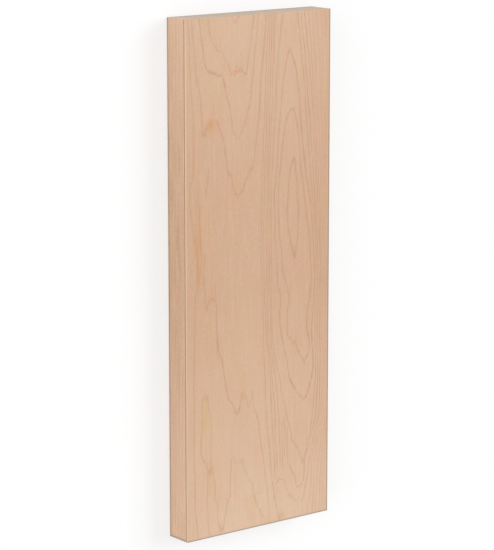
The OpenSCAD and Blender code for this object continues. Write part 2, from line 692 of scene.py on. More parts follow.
# Long lines down the left margin
LEFT_MARGIN = GrainFamily(
    courses=(
        GrowthCourse(0.85, ((0, 1.8), (10, 2.4), (24, 3.2), (32, 4), (45, 4.8), (55, 5.6), (68, 6.2),
            (82, 6), (92, 5.8), (98, 5), (104, 3.8), (112, 2.5))),
        GrowthCourse(1.05, ((120, 3.8), (127, 5), (131, 6.2), (138, 7), (147, 8), (158, 8.8), (164, 8.9),
            (168.5, 7.5), (175, 6.7), (185, 6.5), (200, 6.3), (215, 5.9), (230, 5.6), (245, 5.9),
            (262, 5.4), (280, 5.3), (290, 6), (305, 6.2), (318, 7.3), (330, 8))),
        GrowthCourse(1.4, ((108, 9.2), (113, 9), (116, 10.5), (129, 10.7), (137, 11.2), (147, 11.8),
            (158, 11), (163, 9.6))),
        GrowthCourse(1.2, ((95, 17.1), (101, 16.2), (108, 15.4))),
    ),
    fade=4,
)

# Fine crowded lines down the right margin
RIGHT_MARGIN = GrainFamily(
    courses=(
        GrowthCourse(1.65, ((4, 91), (15, 92.4), (24, 93.8), (36, 95), (48, 96), (60, 97.2), (72, 98.4),
            (86, 99.6), (100, 101), (114, 102.4), (128, 103.6), (142, 104.8), (158, 106), (175, 106.8),
            (192, 106.2), (205, 105.5), (220, 105.6), (235, 105.8), (250, 105))),
        GrowthCourse(1.5, ((0, 93.5), (16, 95.5), (28, 97), (38, 98.3), (52, 99.6), (68, 100.8),
            (84, 102.2), (102, 103.8), (120, 105.2), (138, 106.4), (156, 107.4), (174, 108.2), (192, 107.8),
            (208, 107.4), (228, 107.6), (246, 107.2), (256, 107))),
        GrowthCourse(0.9, ((0, 96.4), (16, 98.4), (32, 100), (50, 101.4), (70, 102.8), (92, 104.4),
            (114, 106), (136, 107.6), (160, 108.8), (180, 109.6), (205, 109.3), (230, 109.2), (245, 108.9),
            (256, 108.4))),
        GrowthCourse(0.8, ((0, 99.6), (18, 101.4), (38, 103), (60, 104.6), (85, 106.2), (110, 107.8),
            (138, 109.4), (165, 110.6), (190, 111), (225, 110.8), (250, 110), (272, 108), (288, 104.6),
            (302, 103.4), (330, 102))),
        GrowthCourse(0.65, ((0, 103), (22, 105), (48, 106.8), (80, 108.6), (112, 110.2), (145, 111.6),
            (180, 112.4), (225, 112.2), (255, 111.3), (280, 109), (300, 106.4), (330, 104.8))),
        GrowthCourse(0.65, ((0, 106.5), (30, 108.5), (70, 110.5), (110, 112), (150, 113.4), (185, 114),
            (240, 113.4), (275, 111.4), (300, 109.2), (330, 107.4))),
        GrowthCourse(0.65, ((0, 110.2), (30, 111.6), (70, 113), (110, 114.4))),
        GrowthCourse(0.65, ((255, 114.2), (285, 112.6), (310, 110.8), (330, 110))),
    ),
    width=0.6,
    fade=3,
)


@dataclass(frozen=True)
class RingLines(ShaderGroup):
    """Plain growth rings: a fine dark line at the end of each ring and a slow darkening towards it."""

    title = "ring lines"
    takes = ports("rings", "per_mm", "line_width")
    gives = ports("line", "late")
    after_share: float = 0.5
    late_span: Span = (0.45, 1.0)

    def wire(self, wiring: Wiring, given: Signals) -> dict[str, Signal]:
        """Measures how far the nearest ring line is, in millimetres.

        Args:
            wiring: The group's own tree.
            given: The count of rings up to here, rings per millimetre and the width of a line.

        Returns:
            Masks of the lines and of the late wood before them.
        """
        phase = given["rings"].part()
        before = (1.0 - phase) / given["per_mm"]
        after = phase / given["per_mm"]
        reach = given["line_width"]
        near = 1.0 - (before / reach).under(after / (reach * self.after_share)).under(1.0)
        return {"line": near.soften(), "late": phase.rise(*self.late_span)}


@dataclass(frozen=True)
class WoodFibre(ShaderGroup):
    """Fine figure of all long grain: streaks along the fibres, ray flecks and broad soft patches."""

    title = "wood fibre"
    takes = ports("point", kind=PortKind.VECTOR)
    gives = ports("streak", "fleck", "patch", "height")
    streaks: Cloud = Cloud(1.1, 24, 1.1)
    flecks: Cloud = Cloud(0.6, 2.2, 0.6, seed=11)
    patches: Cloud = Cloud(22, 60, 22, octaves=1, seed=23)
    fibres: Cloud = Cloud(0.25, 8, 0.25, seed=37)
    fleck_span: Span = (0.12, 0.5)
    fleck_height: float = 0.5

    def wire(self, wiring: Wiring, given: Signals) -> dict[str, Signal]:
        """Layers noise of four sizes, each stretched along the fibres.

        Args:
            wiring: The group's own tree.
            given: The place on the board.

        Returns:
            The figure, and the height of its relief.
        """
        point = given["point"]
        streak = wiring.noise(point, self.streaks)
        fleck = wiring.noise(point, self.flecks)
        patch = wiring.noise(point, self.patches)
        fibre = wiring.noise(point, self.fibres)
        start, full = self.fleck_span
        return {
            "streak": streak,
            "fleck": fleck.rise(start, full) - fleck.rise(-start, -full),
            "patch": patch,
            "height": fibre + fleck * self.fleck_height,
        }


@dataclass(frozen=True)
class Ground:
    """What a finish is laid on: the material's tree, the place on the board and the fibre there."""

    wiring: Wiring
    across: Signal
    along: Signal
    up: Signal
    point: Signal
    front: Signal
    back: Signal
    end: Signal
    eased: Signal
    streak: Signal
    fleck: Signal
    patch: Signal
    height: Signal

    @classmethod
    def of_board(cls, wiring: Wiring, width: float, length: float) -> "Ground":
        """Finds the place and the fibre in a new material.

        Args:
            wiring: The material's tree.
            width: Width of the board in millimetres.
            length: Length of the board in millimetres.

        Returns:
            The ground for the material's finish.
        """
        place = BoardPlace(width, length).place(wiring)
        fibre = WoodFibre().place(wiring, point=place["point"])
        return cls(wiring, **place, **fibre)

    def off_end(self) -> Signal:
        """Masks all but the sawn ends."""
        return 1.0 - self.end


@dataclass(frozen=True)
class EndGrain(ShaderGroup):
    """Cut ends of the fibres: fine open pores, pale rays and faint rings."""

    title = "end grain"
    takes = ports("point", kind=PortKind.VECTOR) + ports("rings")
    gives = ports("pore", "ray", "ring", "height")
    grit: Cloud = Cloud(0.35, 0.35, 0.35, seed=5)
    rays: Cloud = Cloud(0.5, 0.5, 3, octaves=1, seed=17)
    pore_span: Span = (0.05, 0.5)
    ray_span: Span = (0.1, 0.5)
    ring_span: Span = (0.5, 1.0)

    def wire(self, wiring: Wiring, given: Signals) -> dict[str, Signal]:
        """Scatters pores over the cut and draws rays through them.

        Args:
            wiring: The group's own tree.
            given: The place on the board, and the count of rings up to here.

        Returns:
            Masks of pores, rays and rings, and the height of the relief.
        """
        point = given["point"]
        grit = wiring.noise(point, self.grit)
        ray = wiring.noise(point, self.rays)
        return {
            "pore": grit.rise(*self.pore_span),
            "ray": ray.rise(*self.ray_span),
            "ring": given["rings"].part().rise(*self.ring_span),
            "height": -grit,
        }


@dataclass(frozen=True)
class GrainTint(ShaderGroup):
    """Colours long grain: base tone, late wood, ring lines, streaks and flecks, laid over each other."""

    title = "grain tint"
    takes = ports("base", "line_colour", "warm", kind=PortKind.COLOUR) + ports(
        "line", "late", "streak", "fleck", "patch")
    gives = ports("colour", kind=PortKind.COLOUR)
    dark: Rgb = paint(150, 112, 86)
    pale: Rgb = paint(236, 206, 181)
    patch_span: Span = (-0.5, 0.5)
    late_share: float = 0.16
    streak_dark: float = 0.12
    streak_pale: float = 0.19
    fleck_dark: float = 0.145
    fleck_pale: float = 0.26

    def wire(self, wiring: Wiring, given: Signals) -> dict[str, Signal]:
        """Lays the tints from the broadest to the finest.

        Args:
            wiring: The group's own tree.
            given: The tones, and the figure that they follow.

        Returns:
            The colour of the grain.
        """
        tone = wiring.blend(given["patch"].rise(*self.patch_span), given["base"], given["warm"])
        tone = wiring.blend(given["late"] * self.late_share, tone, given["line_colour"])
        tone = wiring.blend(given["streak"].above() * self.streak_dark, tone, self.dark)
        tone = wiring.blend(given["streak"].below() * self.streak_pale, tone, self.pale)
        tone = wiring.blend(given["fleck"].above() * self.fleck_dark, tone, self.dark)
        tone = wiring.blend(given["fleck"].below() * self.fleck_pale, tone, self.pale)
        return {"colour": wiring.blend(given["line"], tone, given["line_colour"])}


class HueDrift(ShaderGroup):
    """Slow change of a tone from place to place, to a rosier one and to a yellower one."""

    title = "hue drift"
    takes = ports("tone", "rosy", "sallow", kind=PortKind.COLOUR) + ports(
        "drift", "rosy_share", "sallow_share")
    gives = ports("colour", kind=PortKind.COLOUR)

    def wire(self, wiring: Wiring, given: Signals) -> dict[str, Signal]:
        """Tints the tone on both sides of the drift.

        Args:
            wiring: The group's own tree.
            given: The tone and its two tints, the noise that they follow, and how much of each shows.

        Returns:
            The tone as it has drifted.
        """
        tone = wiring.blend(given["drift"].above() * given["rosy_share"], given["tone"], given["rosy"])
        tone = wiring.blend(given["drift"].below() * given["sallow_share"], tone, given["sallow"])
        return {"colour": tone}


@dataclass(frozen=True)
class PaintedBackShade(ShaderGroup):
    """Painted shade that greys the sawn ends towards the back face, which lies on the floor; the plies still
    show through it.
    """

    title = "painted back shade"
    takes = ports("colour", kind=PortKind.COLOUR) + ports("up", "end")
    gives = ports("colour", kind=PortKind.COLOUR)
    # Colour of the painted shade, multiplied over the ends
    stain: Rgb = paint(232, 236, 238)
    height_span: Span = (9, 4)

    def wire(self, wiring: Wiring, given: Signals) -> dict[str, Signal]:
        """Paints the shade on the ends.

        Args:
            wiring: The group's own tree.
            given: The colour of the clean end, the height above the back face, and the mask of the ends.

        Returns:
            The colour with its painted shade.
        """
        share = given["up"].rise(*self.height_span) * given["end"]
        return {"colour": wiring.blend(share, given["colour"], self.stain, Laying.STAIN)}


class Tint(Enum):
    """Colours of the small marks in the wood."""

    AMBER = paint(204, 142, 84)
    ROSE = paint(216, 146, 124)
    STRAW = paint(206, 172, 112)
    UMBER = paint(168, 118, 82)


@dataclass(frozen=True)
class Blush:
    """A soft coloured mark in the wood: its tint, middle and half sizes in millimetres, and strength."""

    tint: Tint
    middle: float
    down: float
    half_width: float
    half_length: float
    strength: float


@dataclass(frozen=True)
class Blushes:
    """All soft coloured marks of one surface."""

    marks: tuple[Blush, ...]

    def stain(self, wiring: Wiring, tone: Signal, across: Signal, along: Signal) -> Signal:
        """Adds the marks to a tone, one tint at a time.

        Args:
            wiring: The material's tree.
            tone: The colour below the marks.
            across: Millimetres across the surface.
            along: Millimetres along it.

        Returns:
            The tone with its marks.
        """
        spot = SoftSpot()

        def share(mark: Blush) -> Signal:
            """Shapes one mark."""
            return spot.place(
                wiring, across=across, along=along, middle=mark.middle, down=mark.down,
                half_width=mark.half_width, half_length=mark.half_length, strength=mark.strength,
            )["share"]

        for tint in Tint:
            marks = [mark for mark in self.marks if mark.tint is tint]
            if marks:
                tone = wiring.blend(reduce(Signal.__add__, map(share, marks)), tone, tint.value)
        return tone


# Marks on the front, placed across and along
FRONT_BLUSHES = Blushes(marks=(
    Blush(Tint.AMBER, 19.6, 65.4, 1.7, 1.9, 0.55),
    Blush(Tint.AMBER, 17.8, 67.6, 4, 4.8, 0.42),
    Blush(Tint.AMBER, 9.2, 140, 2.2, 14, 0.55),
    Blush(Tint.AMBER, 9.4, 158, 1.8, 9, 0.44),
    Blush(Tint.AMBER, 24.6, 207, 1, 8, 0.44),
    Blush(Tint.AMBER, 39.5, 250.6, 2.6, 1.8, 0.4),
    Blush(Tint.AMBER, 75, 326.5, 3.6, 2.4, 0.3),
    Blush(Tint.AMBER, 22, 34.3, 4.5, 1.3, 0.28),
    Blush(Tint.AMBER, 26.5, 326, 2, 3, 0.36),
    Blush(Tint.AMBER, 5.6, 90, 1.2, 8, 0.3),
    Blush(Tint.AMBER, 20, 174, 2.6, 5, 0.24),
    Blush(Tint.AMBER, 18.2, 286, 2.4, 5, 0.26),
    Blush(Tint.ROSE, 81.2, 24, 1.7, 2.6, 0.36),
    Blush(Tint.ROSE, 25, 66.6, 2.2, 3.6, 0.42),
    Blush(Tint.ROSE, 39.6, 34.2, 2.8, 1.1, 0.64),
    Blush(Tint.ROSE, 15, 238.3, 1.7, 2.2, 0.56),
    Blush(Tint.ROSE, 38.5, 110, 3, 4, 0.24),
    Blush(Tint.ROSE, 43.6, 283.6, 1.8, 1.6, 0.4),
    Blush(Tint.ROSE, 86, 160, 3, 2, 0.24),
    Blush(Tint.ROSE, 101, 132, 1.6, 4, 0.28),
    Blush(Tint.ROSE, 99.5, 187, 1, 10, 0.28),
    Blush(Tint.STRAW, 20.5, 64.5, 3.6, 2.6, 0.16),
    Blush(Tint.STRAW, 14.5, 251, 3.4, 12, 0.5),
    Blush(Tint.STRAW, 83.6, 313.2, 2.6, 1.8, 0.44),
    Blush(Tint.STRAW, 55, 311.5, 2.2, 4, 0.32),
    Blush(Tint.STRAW, 94, 225.5, 1.8, 3, 0.32),
    Blush(Tint.STRAW, 28.4, 221, 1.2, 6, 0.32),
    Blush(Tint.STRAW, 84, 62.5, 3, 2.4, 0.16),
    Blush(Tint.STRAW, 17.6, 294, 1.6, 5, 0.26),
    Blush(Tint.UMBER, 86, 153, 1.5, 4, 0.22),
    Blush(Tint.UMBER, 14, 71.2, 2, 2, 0.2),
    Blush(Tint.UMBER, 34, 98, 1.6, 2.2, 0.2),
    Blush(Tint.UMBER, 51.2, 96.6, 2, 1.6, 0.16),
    Blush(Tint.UMBER, 18, 287, 1.1, 2.4, 0.14),
    Blush(Tint.UMBER, 44.6, 242, 1, 3, 0.24),
))

# Marks on the lip, placed up and along
LIP_BLUSHES = Blushes(marks=(
    Blush(Tint.ROSE, 11, 170, 2.5, 7, 0.16),
    Blush(Tint.ROSE, 8, 62, 2, 12, 0.14),
    Blush(Tint.ROSE, 10, 322, 3, 5, 0.06),
    Blush(Tint.STRAW, 5.2, 146, 1.6, 17, 0.32),
    Blush(Tint.STRAW, 4.5, 18, 3, 9, 0.24),
    Blush(Tint.STRAW, 6, 92, 2, 11, 0.28),
    Blush(Tint.STRAW, 5, 300, 2, 12, 0.1),
    Blush(Tint.UMBER, 13, 84, 0.7, 6, 0.26),
    Blush(Tint.UMBER, 12.2, 92, 0.8, 8, 0.26),
    Blush(Tint.UMBER, 12.2, 133, 0.7, 8, 0.32),
    Blush(Tint.UMBER, 10.8, 140, 0.7, 12, 0.32),
    Blush(Tint.UMBER, 11.6, 150, 0.6, 7, 0.26),
    Blush(Tint.UMBER, 10.5, 208, 3, 16, 0.12),
    Blush(Tint.UMBER, 9, 175, 3.5, 60, 0.09),
))


@dataclass(frozen=True)
class VeneerFinish:
    """Clear satin maple veneer, as the front shows it."""

    base: Rgb = paint(221, 190, 163)
    deep: Rgb = paint(195, 154, 122)
    ruddy: Rgb = paint(202, 154, 122)
    flush: Rgb = paint(208, 164, 122)
    rosy: Rgb = paint(222, 170, 150)
    sallow: Rgb = paint(206, 182, 136)
    line_colour: Rgb = paint(188, 142, 112)
    families: tuple[GrainFamily, ...] = (
        UPPER_ARCHES, CROSSING_ARCH, LOWER_ARCHES, FAINT_LOOP,
        RING_COLUMN, STRAIGHT_BAND, LEFT_MARGIN, RIGHT_MARGIN,
    )
    blushes: Blushes = FRONT_BLUSHES
    blush_sway: float = 0.8
    blush_ragged: float = 1.2
    deep_along: Stations = (
        (0, 0.35), (45, 0.47), (75, 0.58), (105, 0.65), (140, 0.68), (165, 0.68), (195, 0.58), (225, 0.46),
        (255, 0.38), (285, 0.28), (315, 0.15), (330, 0.09),
    )
    deep_across: Stations = (
        (0, 0.13), (15, 0.09), (30, 0.03), (45, 0), (80, 0.02), (105, 0.06), (115, 0.1),
    )
    ruddy_across: Stations = ((96, 0), (103, 0.5), (109, 1), (115, 0.6))
    ruddy_along: Stations = ((0, 0.3), (30, 0.14), (80, 0.12), (150, 0.04), (240, 0.02), (330, 0.1))
    warm_share: float = 0.12
    warm_cloud: Cloud = Cloud(10, 22, 10, seed=29)
    flush_share: float = 0.62
    hue_cloud: Cloud = Cloud(3.5, 9, 3.5, seed=31)
    rosy_share: float = 0.54
    sallow_share: float = 0.58
    ragged_cloud: Cloud = Cloud(1.6, 22, 1.6, octaves=1, seed=7)
    ragged: float = 3.2
    frayed_cloud: Cloud = Cloud(0.9, 7, 0.9, octaves=1, seed=13)
    frayed: float = 2.6
    wander_cloud: Cloud = Cloud(7, 35, 7, octaves=1, seed=3)
    wander: float = 0.9
    strength_cloud: Cloud = Cloud(4, 12, 4, seed=19)
    strength_span: Span = (-0.7, 0.5)
    faintest: float = 0.4
    line_share: float = 0.55

    def colour(self, ground: Ground) -> Signal:
        """Paints the front veneer.

        Args:
            ground: What it is laid on.

        Returns:
            The veneer's colour.
        """
        wiring, across, along = ground.wiring, ground.across, ground.along
        deep = along.follow(self.deep_along) + across.follow(self.deep_across)
        ruddy = across.follow(self.ruddy_across) * along.follow(self.ruddy_along)
        tone = wiring.blend(deep, self.base, self.deep)
        tone = wiring.blend(ruddy, tone, self.ruddy)
        tone = self.mottle(ground, tone)
        swayed = across + ground.streak * self.blush_sway
        torn = along + ground.fleck * self.blush_ragged
        tone = self.blushes.stain(wiring, tone, swayed, torn)
        return GrainTint().place(
            wiring, base=tone, warm=wiring.blend(self.warm_share, tone, self.ruddy),
            line_colour=self.line_colour, line=self.lines(ground), late=0.0,
            streak=ground.streak, fleck=ground.fleck, patch=ground.patch,
        )["colour"]

    def mottle(self, ground: Ground, tone: Signal) -> Signal:
        """Lets the tone drift from place to place, to a warmer, a rosier or a yellower one.

        Args:
            ground: What the veneer is laid on.
            tone: The even tone.

        Returns:
            The tone as it has drifted.
        """
        wiring = ground.wiring
        warmth = wiring.noise(ground.point, self.warm_cloud)
        hue = wiring.noise(ground.point, self.hue_cloud)
        tone = wiring.blend(warmth.above() * self.flush_share, tone, self.flush)
        return HueDrift().place(
            wiring, tone=tone, rosy=self.rosy, sallow=self.sallow, drift=hue,
            rosy_share=self.rosy_share, sallow_share=self.sallow_share,
        )["colour"]

    def lines(self, ground: Ground) -> Signal:
        """Draws the growth lines, ragged where they cross the fibres and stronger here and there.

        Args:
            ground: What the veneer is laid on.

        Returns:
            How strongly the lines show.
        """
        wiring, point = ground.wiring, ground.point
        ragged = wiring.noise(point, self.ragged_cloud) * self.ragged
        frayed = wiring.noise(point, self.frayed_cloud) * self.frayed
        wander = wiring.noise(point, self.wander_cloud) * self.wander
        torn = ragged + frayed
        swayed = ground.across + wander

        def family_lines(family: GrainFamily) -> Signal:
            """Draws one family, torn as much as its lines are."""
            return family.draw(wiring, swayed, ground.along + torn * family.ragged)

        drawn = reduce(Signal.over, map(family_lines, self.families))
        strength = wiring.noise(point, self.strength_cloud).rise(*self.strength_span)
        return drawn * (strength * (1.0 - self.faintest) + self.faintest) * self.line_share


@dataclass(frozen=True)
class BackVeneerFinish:
    """Plain flat-cut veneer of the same wood on the back, with one run of nested arches."""

    base: Rgb = paint(216, 182, 154)
    warm: Rgb = paint(208, 171, 140)
    line_colour: Rgb = paint(186, 146, 114)
    arch_axis: float = 62
    arch_round: float = 6
    rings_across: float = 0.17
    rings_along: float = 0.021
    wander_cloud: Cloud = Cloud(12, 80, 12, seed=41)
    wander: float = 0.5
    arm_share: float = 0.8
    line_width: float = 0.9
    line_share: float = 0.5

    def colour(self, ground: Ground) -> Signal:
        """Paints the back veneer.

        Args:
            ground: What it is laid on.

        Returns:
            The veneer's colour.
        """
        wiring = ground.wiring
        off_axis = ground.across - self.arch_axis
        arm = wiring.math("SQRT", off_axis * off_axis + self.arch_round ** 2)
        wander = wiring.noise(ground.point, self.wander_cloud) * self.wander
        rings = arm * self.rings_across + ground.along * self.rings_along + wander
        drawn = RingLines().place(
            wiring, rings=rings, per_mm=self.rings_across * self.arm_share, line_width=self.line_width,
        )
        return GrainTint().place(
            wiring, base=self.base, warm=self.warm, line_colour=self.line_colour,
            line=drawn["line"] * self.line_share, late=drawn["late"],
            streak=ground.streak, fleck=ground.fleck, patch=ground.patch,
        )["colour"]


@dataclass(frozen=True)
class PlyEdgeFinish:
    """Sawn edge of the core: thin plies laid crosswise in turn, with a glue line between each two."""

    thickness: float
    face_ply: float
    core_plies: int = 11
    long_grain: Rgb = paint(208, 184, 161)
    cut_grain: Rgb = paint(184, 162, 142)
    tawny: Rgb = paint(196, 162, 130)
    pore: Rgb = paint(138, 120, 104)
    glue: Rgb = paint(132, 114, 98)
    wave_cloud: Cloud = Cloud(40, 40, 2, octaves=1, seed=53)
    wave: float = 0.05
    uneven_cloud: Cloud = Cloud(1, 1, 2.6, octaves=0, seed=67)
    uneven: float = 0.5
    run_cloud: Cloud = Cloud(6, 6, 0.35, seed=59)
    run_span: Span = (-0.1, 0.7)
    run_share: float = 0.35
    pore_share: float = 0.5
    ray_share: float = 0.25
    shade_cloud: Cloud = Cloud(1, 1, 1, octaves=0, seed=61)
    shade_step: float = 5.3
    shade_span: Span = (-0.05, 0.5)
    shade_share: float = 0.45
    glue_width: float = 0.14
    glue_share: float = 0.8

    def colour_and_relief(self, ground: Ground) -> tuple[Signal, Signal]:
        """Paints the plies on both kinds of sawn edge.

        Args:
            ground: What the plies are laid on.

        Returns:
            The edge's colour, and its relief: open pores, ridges of long grain and sunk glue lines.
        """
        wiring, up, point, on_end = ground.wiring, ground.up, ground.point, ground.end
        ply = (self.thickness - 2 * self.face_ply) / self.core_plies
        turn = wiring.noise(point, self.wave_cloud) * self.wave
        spread = wiring.noise(wiring.vector(0.0, 0.0, up), self.uneven_cloud) * self.uneven
        level = (up - self.face_ply) / ply + turn + spread
        layer = level.whole().over(-1.0).under(float(self.core_plies))
        crosswise = 1.0 - (layer * 0.5).part() * 2.0
        cut = crosswise + on_end - crosswise * on_end * 2.0
        grain = EndGrain().place(wiring, point=point, rings=level * 0.5)
        run = wiring.noise(point, self.run_cloud)
        long_tone = wiring.blend(run.rise(*self.run_span) * self.run_share, self.long_grain, self.cut_grain)
        cut_tone = wiring.blend(grain["pore"] * self.pore_share, self.cut_grain, self.pore)
        cut_tone = wiring.blend(grain["ray"] * self.ray_share, cut_tone, self.long_grain)
        tone = wiring.blend(cut, long_tone, cut_tone)
        shade = wiring.noise(wiring.vector(0.0, 0.0, layer * self.shade_step), self.shade_cloud)
        start, full = self.shade_span
        tone = wiring.blend(shade.rise(start, full) * self.shade_share, tone, self.cut_grain)
        tone = wiring.blend(shade.rise(-start, -full) * self.shade_share, tone, self.tawny)
        phase = level.part()
        seam = (phase.under(1.0 - phase) * ply).rise(self.glue_width, 0.0)
        tone = wiring.blend(seam * self.glue_share, tone, self.glue)
        relief = grain["height"] * cut + run * (1.0 - cut) - seam
        # The ends get painted shade towards the back face
        return PaintedBackShade().place(wiring, colour=tone, up=up, end=on_end)["colour"], relief


@dataclass(frozen=True)
class CornerFinish:
    """Corners of the plywood: a painted highlight at the front of the lipped edge, and painted shade along
    the sawn cuts and the back corner.
    """

    width: float
    length: float
    thickness: float
    face_ply: float
    # Colour of the painted highlight on the front corner at the lip
    pale: Rgb = paint(226, 190, 160)
    # Colour of the painted shade on the sawn cuts and on the back corner
    dark: Rgb = paint(128, 118, 106)
    seam: Rgb = paint(150, 97, 55)
    lip_reach: Span = (0.9, 0.35)
    # Reach and strength of the painted shade along the lower end and the sawn long edge
    end_shade_reach: Span = (1.5, 0.3)
    end_shade_share: float = 0.8
    edge_shade_reach: Span = (1.7, 0.5)
    cut_shade_share: float = 0.8
    # Reach and strength of the painted shade on the back corner of the lipped edge
    back_shade_reach: Span = (1.8, 0.9)
    back_shade_share: float = 0.4
    # Where the painted highlight lies above the front joint, and how strong it is down the length
    highlight_start: float = 0.5
    highlight_full: float = 0.7
    highlight_along: Stations = ((0, 0.75), (120, 0.6), (200, 0.42), (330, 0.3))
    seam_start: float = -1.0
    seam_full: float = -0.5
    seam_fading: float = 0.2
    seam_end: float = 0.6
    seam_along: Stations = ((0, 1), (120, 0.95), (220, 0.8), (330, 0.62))

    def colour(self, ground: Ground, whole: Signal) -> Signal:
        """Paints shade and a highlight on the corners.

        Args:
            ground: What the finish is laid on.
            whole: The colour of the faces between the corners.

        Returns:
            The colour with painted shade and a painted highlight on its corners.
        """
        wiring, across, along, up = ground.wiring, ground.across, ground.along, ground.up
        by_lip = across.rise(*self.lip_reach) * ground.off_end()
        joint = self.thickness - self.face_ply
        # Painted shade along the lower end and the sawn long edge, on the front and the eased corners
        end_shade = (self.length - along).rise(*self.end_shade_reach) * self.end_shade_share
        cut_shade = end_shade.over((self.width - across).rise(*self.edge_shade_reach)) * ground.off_end()
        in_view = ground.front.over(ground.eased)
        whole = wiring.blend(cut_shade * in_view * self.cut_shade_share, whole, self.dark)
        # Painted shade on the back corner of the lipped edge, reaching over the back joint
        whole = wiring.blend(by_lip * up.rise(*self.back_shade_reach) * self.back_shade_share, whole, self.dark)
        # Painted highlight on the front corner at the lip, weaker down the length
        highlight = along.follow(self.highlight_along) * by_lip
        highlight = highlight * up.rise(joint + self.highlight_start, joint + self.highlight_full)
        whole = wiring.blend(highlight, whole, self.pale)
        seam = by_lip * up.rise(joint + self.seam_start, joint + self.seam_full)
        seam = seam * up.rise(joint + self.seam_end, joint + self.seam_fading)
        return wiring.blend(seam * along.follow(self.seam_along), whole, self.seam)


@dataclass(frozen=True)
class LipFinish:
    """Solid maple strip: straight long grain, end grain at the sawn ends and a dark seam at each joint."""

    length: float
    thickness: float
    face_ply: float
    base: Rgb = paint(209, 175, 148)
    warm: Rgb = paint(206, 168, 140)
    deep: Rgb = paint(185, 149, 119)
    rosy: Rgb = paint(210, 166, 144)
    sallow: Rgb = paint(202, 174, 136)
    line_colour: Rgb = paint(186, 146, 114)
    cut_grain: Rgb = paint(205, 183, 164)
    pore: Rgb = paint(166, 136, 112)
    seam: Rgb = paint(150, 97, 55)
    # Colour of the painted shade at the lower end
    dark: Rgb = paint(128, 118, 106)
    blushes: Blushes = LIP_BLUSHES
    blush_sway: float = 0.8
    blush_ragged: float = 1.5
    deep_along: Stations = (
        (0, 0.05), (30, 0.15), (60, 0.34), (90, 0.54), (150, 0.7), (190, 0.66), (225, 0.42), (260, 0.22),
        (300, 0.12), (330, 0.1),
    )
    drift_cloud: Cloud = Cloud(2.4, 22, 2.4, seed=73)
    rosy_share: float = 0.85
    sallow_share: float = 0.95
    warm_share: float = 0.2
    wander_cloud: Cloud = Cloud(6, 90, 6, seed=71)
    wander: float = 0.6
    rings_up: float = 0.3
    rings_across: float = 0.2
    rings_along: float = 0.003
    line_width: float = 0.7
    line_share: float = 0.35
    late_share: float = 0.6
    streak_gain: float = 2.4
    fleck_gain: float = 1.5
    pore_share: float = 0.4
    ring_share: float = 0.3
    # Reach and strength of the painted shade at the lower end
    end_shade_reach: Span = (2.6, 0.4)
    end_shade_share: float = 0.6
    seam_reach: Span = (0.6, 0.1)
    seam_loss_along: Stations = ((0, 0.2), (90, 0.38), (200, 0.38), (330, 0.55))

    def colour(self, ground: Ground) -> Signal:
        """Paints the lip.

        Args:
            ground: What the finish is laid on.

        Returns:
            The lip's colour.
        """
        wander = ground.wiring.noise(ground.point, self.wander_cloud) * self.wander
        rings = ground.up * self.rings_up + ground.across * self.rings_across
        rings = rings + ground.along * self.rings_along + wander
        face = self.long_grain(ground, rings)
        cut = self.cut_end(ground, rings)
        return self.shade(ground, ground.wiring.blend(ground.end, face, cut))

    def long_grain(self, ground: Ground, rings: Signal) -> Signal:
        """Paints the grain that runs along the strip.

        Args:
            ground: What the finish is laid on.
            rings: Count of growth rings up to here.

        Returns:
            The colour of the long grain.
        """
        wiring, up, along = ground.wiring, ground.up, ground.along
        drawn = RingLines().place(wiring, rings=rings, per_mm=self.rings_up, line_width=self.line_width)
        tone = wiring.blend(along.follow(self.deep_along), self.base, self.deep)
        tone = HueDrift().place(
            wiring, tone=tone, rosy=self.rosy, sallow=self.sallow,
            drift=wiring.noise(ground.point, self.drift_cloud),
            rosy_share=self.rosy_share, sallow_share=self.sallow_share,
        )["colour"]
        swayed = up + ground.streak * self.blush_sway
        torn = along + ground.fleck * self.blush_ragged
        tone = self.blushes.stain(wiring, tone, swayed, torn)
        return GrainTint().place(
            wiring, base=tone, warm=wiring.blend(self.warm_share, tone, self.warm),
            line_colour=self.line_colour, line=drawn["line"] * self.line_share,
            late=drawn["late"] * self.late_share, streak=ground.streak * self.streak_gain,
            fleck=ground.fleck * self.fleck_gain, patch=ground.patch,
        )["colour"]

    def cut_end(self, ground: Ground, rings: Signal) -> Signal:
        """Paints the end grain at the two sawn ends.

        Args:
            ground: What the finish is laid on.
            rings: Count of growth rings up to here.

        Returns:
            The colour of the ends.
        """
        wiring = ground.wiring
        grain = EndGrain().place(wiring, point=ground.point, rings=rings)
        cut = wiring.blend(grain["pore"] * self.pore_share, self.cut_grain, self.pore)
        cut = wiring.blend(grain["ring"] * self.ring_share, cut, self.pore)
        # The ends get painted shade towards the back face
        return PaintedBackShade().place(wiring, colour=cut, up=ground.up, end=ground.end)["colour"]

    def shade(self, ground: Ground, whole: Signal) -> Signal:
        """Darkens the strip with painted shade at its lower end, and with dark seams at the two joints.

        Args:
            ground: What the finish is laid on.
            whole: The colour of the strip.

        Returns:
            The colour with its painted shade and dark seams.
        """
        wiring, up, along = ground.wiring, ground.up, ground.along
        from_joint = (up - self.face_ply).under(self.thickness - self.face_ply - up)
        # Painted shade along the lower end
        end_shade = (self.length - along).rise(*self.end_shade_reach) * ground.off_end()
        whole = wiring.blend(end_shade * self.end_shade_share, whole, self.dark)
        depth = 1.0 - up.rise(0.0, self.thickness) * along.follow(self.seam_loss_along)
        seam = from_joint.rise(*self.seam_reach) * ground.off_end()
        return wiring.blend(seam * depth, whole, self.seam)


